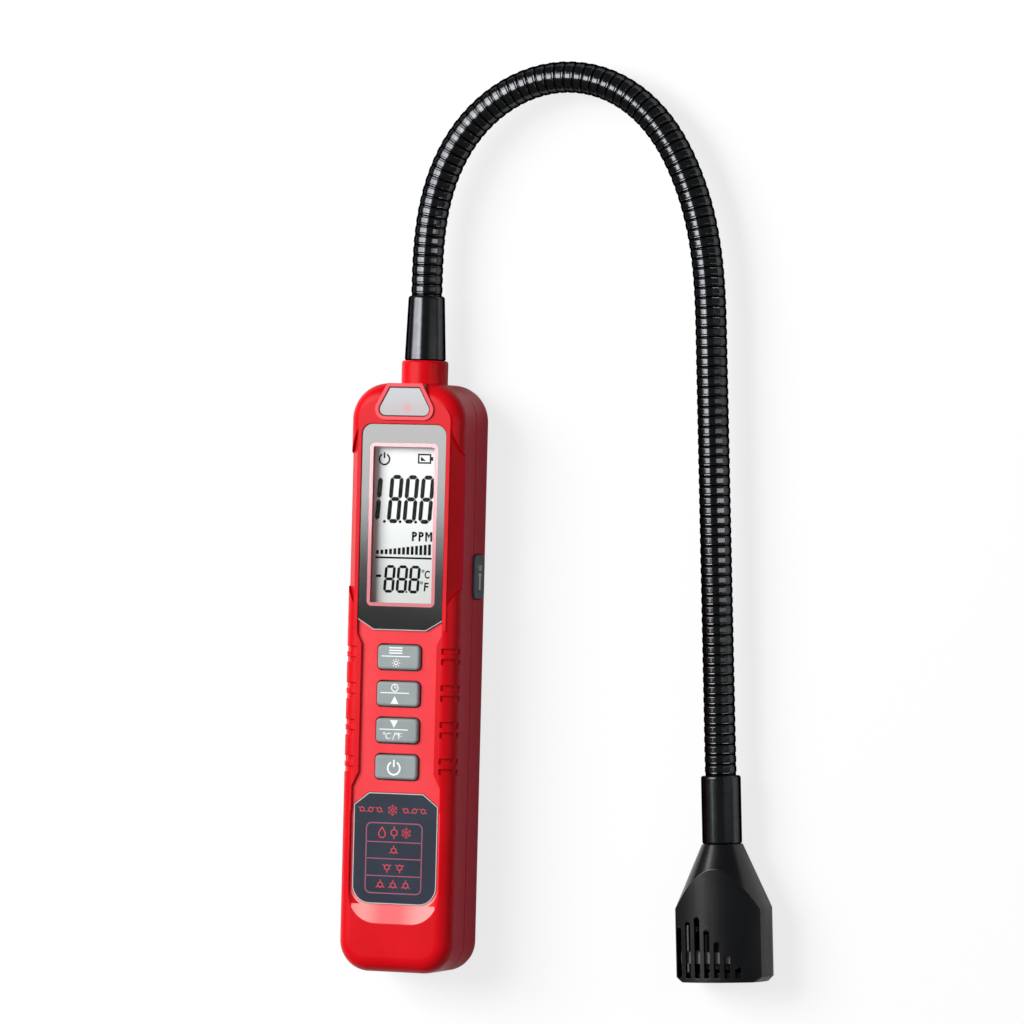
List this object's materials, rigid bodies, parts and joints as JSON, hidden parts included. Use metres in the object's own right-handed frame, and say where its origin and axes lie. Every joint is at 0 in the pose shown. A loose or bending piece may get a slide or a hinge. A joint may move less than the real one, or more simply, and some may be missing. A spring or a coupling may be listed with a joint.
{
  "type": "refrigerant leak detector",
  "caption": "Handheld refrigerant leak detector: slim red body with display and keys, a bendable black neck and a slotted sensor head",
  "frame": {"origin": "centre of the body's flat back, which lies on the floor", "axes": "+X right as seen from the front, +Y from the base of the body towards the neck, +Z out of the front"},
  "size_m": [0.1425, 0.2965, 0.0301],
  "materials": {
    "red_shell": "satin red moulding",
    "lens": "clear window with a black border",
    "lcd": "pale display glass",
    "white_moulding": "white moulding",
    "silver_window": "translucent silver plate",
    "lamp": "tinted clear lamp",
    "dark_panel": "dark blue-grey inlay",
    "board": "green board",
    "key_grey": "grey soft key",
    "button_dark": "dark grey-blue button",
    "bright_steel": "plated steel",
    "black_moulding": "black moulding",
    "cell_wrap": "printed wrap",
    "gloss_black": "gloss black sleeve",
    "neck_black": "gloss black coating",
    "head_black": "fine matte black moulding",
    "sensor_brown": "moulded resin base"
  },
  "bodies": {
    "handle": {"front_shell": "red_shell", "back_shell": "red_shell", "display_lens": "lens", "indicator_window": "silver_window", "info_panel": "dark_panel", "neck_ferrule": "gloss_black", "lcd_glass": "lcd", "lcd_holder": "white_moulding", "alarm_lamp": "lamp", "main_board": "board", "key_switches": "bright_steel", "side_switch": "black_moulding", "buzzer": "black_moulding", "battery_cell_1": "cell_wrap", "battery_cell_2": "cell_wrap", "battery_cell_3": "cell_wrap", "contact_springs": "bright_steel", "contact_plates": "bright_steel", "neck_nut": "bright_steel", "casing_screws": "bright_steel"},
    "battery_cover": {"battery_cover": "red_shell"},
    "key_select": {"key_select": "key_grey"},
    "key_up": {"key_up": "key_grey"},
    "key_down": {"key_down": "key_grey"},
    "key_power": {"key_power": "key_grey"},
    "side_button": {"side_button": "button_dark"},
    "neck_01": {"neck_link_01": "neck_black"},
    "neck_02": {"neck_link_02": "neck_black"},
    "neck_03": {"neck_link_03": "neck_black"},
    "neck_04": {"neck_link_04": "neck_black"},
    "neck_05": {"neck_link_05": "neck_black"},
    "neck_06": {"neck_link_06": "neck_black"},
    "neck_07": {"neck_link_07": "neck_black"},
    "neck_08": {"neck_link_08": "neck_black"},
    "neck_09": {"neck_link_09": "neck_black"},
    "neck_10": {"neck_link_10": "neck_black"},
    "neck_11": {"neck_link_11": "neck_black"},
    "neck_12": {"neck_link_12": "neck_black"},
    "neck_13": {"neck_link_13": "neck_black"},
    "neck_14": {"neck_link_14": "neck_black"},
    "neck_15": {"neck_link_15": "neck_black"},
    "neck_16": {"neck_link_16": "neck_black"},
    "neck_17": {"neck_link_17": "neck_black"},
    "probe": {"neck_link_18": "neck_black", "probe_ferrule": "gloss_black", "probe_housing": "head_black", "probe_end_cap": "head_black", "sensor_holder": "head_black", "sensor_base": "sensor_brown", "sensor_cap": "bright_steel", "sensor_board": "board"}
  },
  "joints": [
    {"name": "battery_cover_slide", "type": "slide", "parent": "handle", "child": "battery_cover", "axis": [0, -1, 0], "range_m": [0, 0.062]},
    {"name": "key_select_press", "type": "slide", "parent": "handle", "child": "key_select", "axis": [0, 0, -1], "range_m": [0, 0.0008], "stiffness_N_per_m": 900},
    {"name": "key_up_press", "type": "slide", "parent": "handle", "child": "key_up", "axis": [0, 0, -1], "range_m": [0, 0.0008], "stiffness_N_per_m": 900},
    {"name": "key_down_press", "type": "slide", "parent": "handle", "child": "key_down", "axis": [0, 0, -1], "range_m": [0, 0.0008], "stiffness_N_per_m": 900},
    {"name": "key_power_press", "type": "slide", "parent": "handle", "child": "key_power", "axis": [0, 0, -1], "range_m": [0, 0.0008], "stiffness_N_per_m": 900},
    {"name": "side_button_press", "type": "slide", "parent": "handle", "child": "side_button", "axis": [-1, 0, 0], "range_m": [0, 0.0006], "stiffness_N_per_m": 900},
    {"name": "neck_bend_01", "type": "hinge", "parent": "handle", "child": "neck_01", "pos_m": [0, 0.12486, 0.012], "axis": [0, 0, 1], "range_deg": [-1, 8]},
    {"name": "neck_bend_02", "type": "hinge", "parent": "neck_01", "child": "neck_02", "pos_m": [0.00053, 0.14399, 0.01191], "axis": [0, 0, 1], "range_deg": [-1, 8]},
    {"name": "neck_bend_03", "type": "hinge", "parent": "neck_02", "child": "neck_03", "pos_m": [0.00431, 0.1627, 0.01182], "axis": [0, 0, 1], "range_deg": [-1, 8]},
    {"name": "neck_bend_04", "type": "hinge", "parent": "neck_03", "child": "neck_04", "pos_m": [0.01355, 0.17935, 0.01172], "axis": [0, 0, 1], "range_deg": [-1, 8]},
    {"name": "neck_bend_05", "type": "hinge", "parent": "neck_04", "child": "neck_05", "pos_m": [0.02833, 0.19131, 0.01163], "axis": [0, 0, 1], "range_deg": [-1, 8]},
    {"name": "neck_bend_06", "type": "hinge", "parent": "neck_05", "child": "neck_06", "pos_m": [0.04672, 0.19595, 0.01154], "axis": [0, 0, 1], "range_deg": [-1, 8]},
    {"name": "neck_bend_07", "type": "hinge", "parent": "neck_06", "child": "neck_07", "pos_m": [0.06512, 0.19141, 0.01145], "axis": [0, 0, -1], "range_deg": [-8, 2]},
    {"name": "neck_bend_08", "type": "hinge", "parent": "neck_07", "child": "neck_08", "pos_m": [0.07955, 0.17905, 0.01135], "axis": [0, 0, -1], "range_deg": [-8, 2]},
    {"name": "neck_bend_09", "type": "hinge", "parent": "neck_08", "child": "neck_09", "pos_m": [0.08893, 0.16243, 0.01126], "axis": [0, 0, -1], "range_deg": [-8, 2]},
    {"name": "neck_bend_10", "type": "hinge", "parent": "neck_09", "child": "neck_10", "pos_m": [0.09447, 0.14414, 0.01117], "axis": [0, 0, -1], "range_deg": [-8, 2]},
    {"name": "neck_bend_11", "type": "hinge", "parent": "neck_10", "child": "neck_11", "pos_m": [0.09699, 0.12518, 0.01108], "axis": [0, 0, -1], "range_deg": [-8, 2]},
    {"name": "neck_bend_12", "type": "hinge", "parent": "neck_11", "child": "neck_12", "pos_m": [0.09802, 0.10607, 0.01099], "axis": [0, 0, -1], "range_deg": [-8, 2]},
    {"name": "neck_bend_13", "type": "hinge", "parent": "neck_12", "child": "neck_13", "pos_m": [0.09892, 0.08695, 0.01089], "axis": [0, 0, 1], "range_deg": [-4, 8]},
    {"name": "neck_bend_14", "type": "hinge", "parent": "neck_13", "child": "neck_14", "pos_m": [0.09983, 0.06783, 0.0108], "axis": [0, 0, 1], "range_deg": [-4, 8]},
    {"name": "neck_bend_15", "type": "hinge", "parent": "neck_14", "child": "neck_15", "pos_m": [0.10073, 0.04871, 0.01071], "axis": [0, 0, 1], "range_deg": [-4, 8]},
    {"name": "neck_bend_16", "type": "hinge", "parent": "neck_15", "child": "neck_16", "pos_m": [0.10163, 0.02959, 0.01062], "axis": [0, 0, 1], "range_deg": [-4, 8]},
    {"name": "neck_bend_17", "type": "hinge", "parent": "neck_16", "child": "neck_17", "pos_m": [0.10253, 0.01047, 0.01052], "axis": [0, 0, 1], "range_deg": [-4, 8]},
    {"name": "neck_bend_18", "type": "hinge", "parent": "neck_17", "child": "probe", "pos_m": [0.10343, -0.00865, 0.01043], "axis": [0, 0, 1], "range_deg": [-4, 8]}
  ],
  "couplings": [
    {"joint": "neck_bend_02", "follows": "neck_bend_01", "ratio": 1},
    {"joint": "neck_bend_03", "follows": "neck_bend_01", "ratio": 1},
    {"joint": "neck_bend_04", "follows": "neck_bend_01", "ratio": 1},
    {"joint": "neck_bend_05", "follows": "neck_bend_01", "ratio": 1},
    {"joint": "neck_bend_06", "follows": "neck_bend_01", "ratio": 1},
    {"joint": "neck_bend_08", "follows": "neck_bend_07", "ratio": 1},
    {"joint": "neck_bend_09", "follows": "neck_bend_07", "ratio": 1},
    {"joint": "neck_bend_10", "follows": "neck_bend_07", "ratio": 1},
    {"joint": "neck_bend_11", "follows": "neck_bend_07", "ratio": 1},
    {"joint": "neck_bend_12", "follows": "neck_bend_07", "ratio": 1},
    {"joint": "neck_bend_14", "follows": "neck_bend_13", "ratio": 1},
    {"joint": "neck_bend_15", "follows": "neck_bend_13", "ratio": 1},
    {"joint": "neck_bend_16", "follows": "neck_bend_13", "ratio": 1},
    {"joint": "neck_bend_17", "follows": "neck_bend_13", "ratio": 1},
    {"joint": "neck_bend_18", "follows": "neck_bend_13", "ratio": 1}
  ]
}
